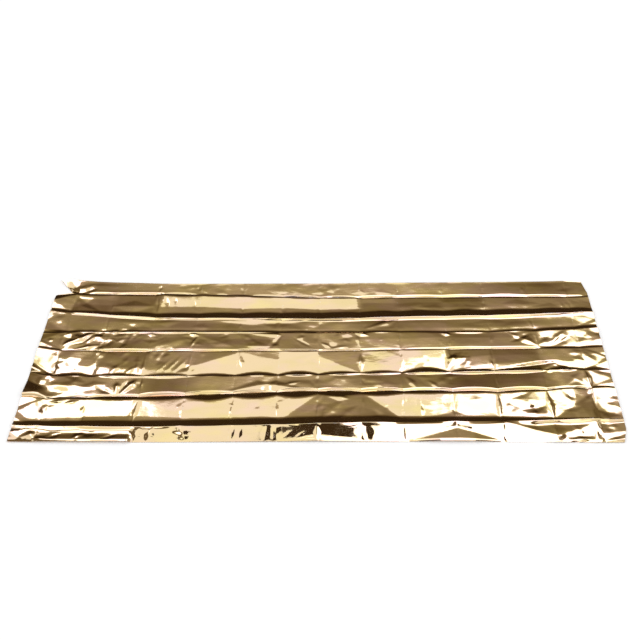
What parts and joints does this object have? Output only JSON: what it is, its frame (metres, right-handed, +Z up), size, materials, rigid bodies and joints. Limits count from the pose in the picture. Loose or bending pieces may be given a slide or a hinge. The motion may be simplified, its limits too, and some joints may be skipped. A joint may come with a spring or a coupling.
{
  "type": "emergency foil blanket",
  "caption": "Gold metallised film rescue blanket unfolded on the ground, a thin sheet with packing creases that form ridges, valleys and crumpled ends.",
  "frame": {"origin": "middle of the blanket's box in plan, on the floor that it lies on", "axes": "+X along its length, from the left end to the right; +Y from the near edge to the far edge; +Z up"},
  "size_m": [2.1144, 0.9375, 0.0216],
  "materials": {
    "gold_film": "gold metallised polyester film, nearly mirror bright, finely creased"
  },
  "bodies": {
    "root": {"foil_sheet": "gold_film"}
  },
  "joints": []
}
